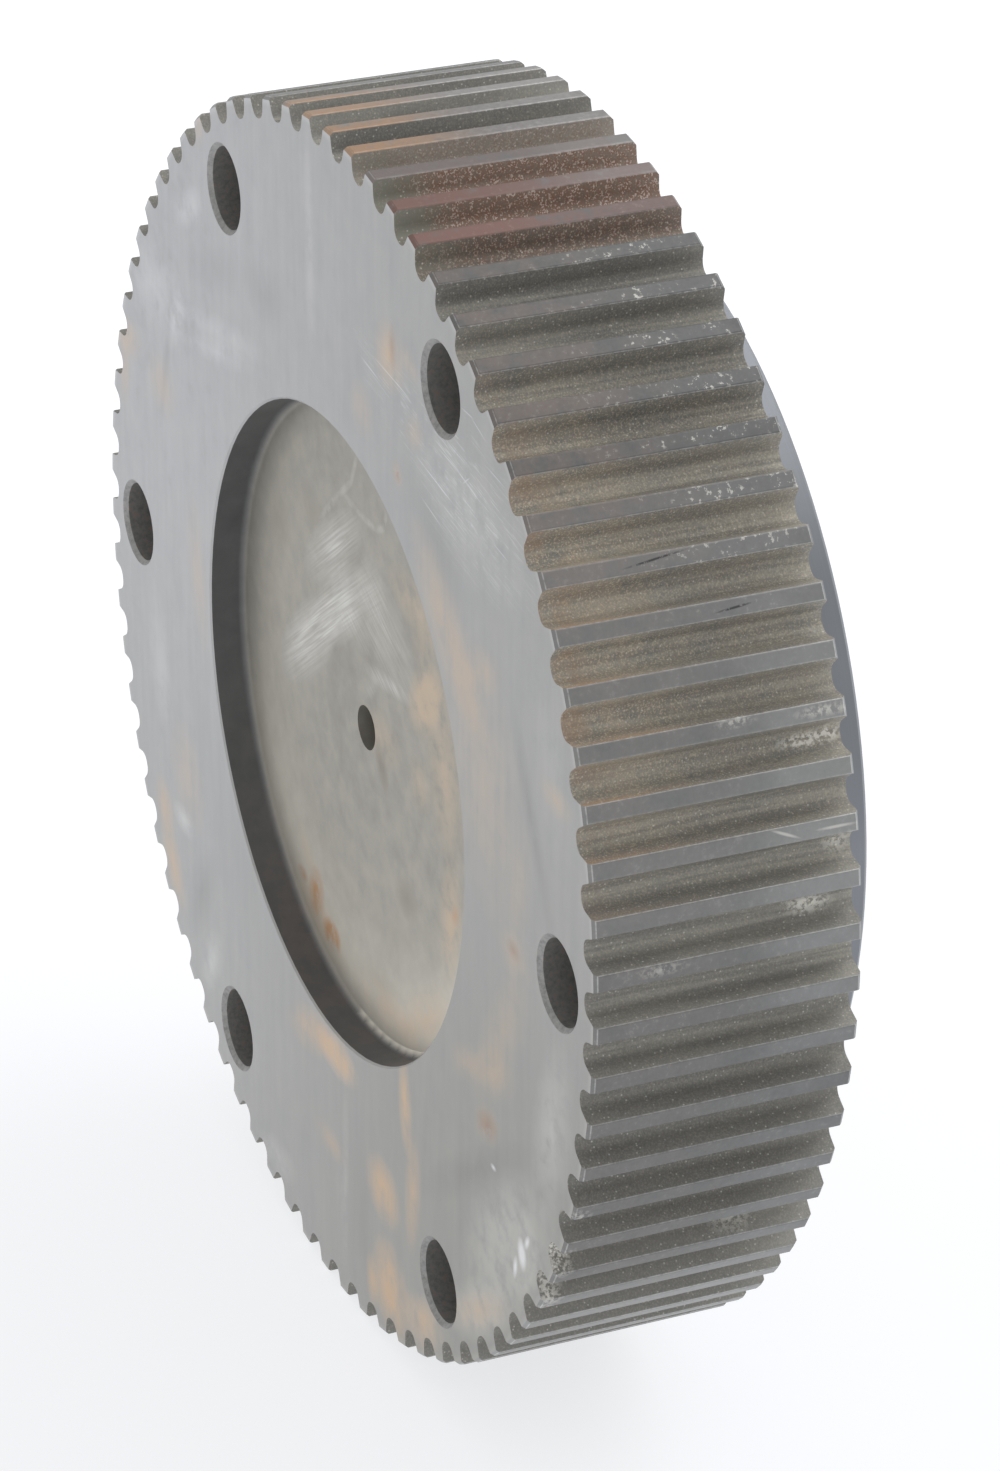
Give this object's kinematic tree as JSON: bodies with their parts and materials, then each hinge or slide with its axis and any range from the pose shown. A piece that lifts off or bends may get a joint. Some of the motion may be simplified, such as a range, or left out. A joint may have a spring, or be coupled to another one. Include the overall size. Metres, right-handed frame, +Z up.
{
  "type": "toothed belt wheel",
  "caption": "Heavy steel wheel with straight rounded belt teeth, a shallow pilot recess and through bolt holes in its front face, and a bolted disc on its back.",
  "frame": {"origin": "on the wheel's axis, halfway between the two ends of the teeth", "axes": "+Y along the axis from the front face to the rear disc, +Z up with the wheel standing on its teeth"},
  "size_m": [0.3314, 0.09, 0.3313],
  "materials": {
    "wheel_steel": "turned carbon steel, dulled, with light rust and dust in the grooves",
    "disc_steel": "fine turned, bluish grey",
    "screw_steel": "black oxide",
    "dowel_steel": "ground"
  },
  "bodies": {
    "root": {"toothed_wheel": "wheel_steel", "rear_disc": "disc_steel", "disc_screws": "screw_steel", "dowel_pins": "dowel_steel"}
  },
  "joints": []
}
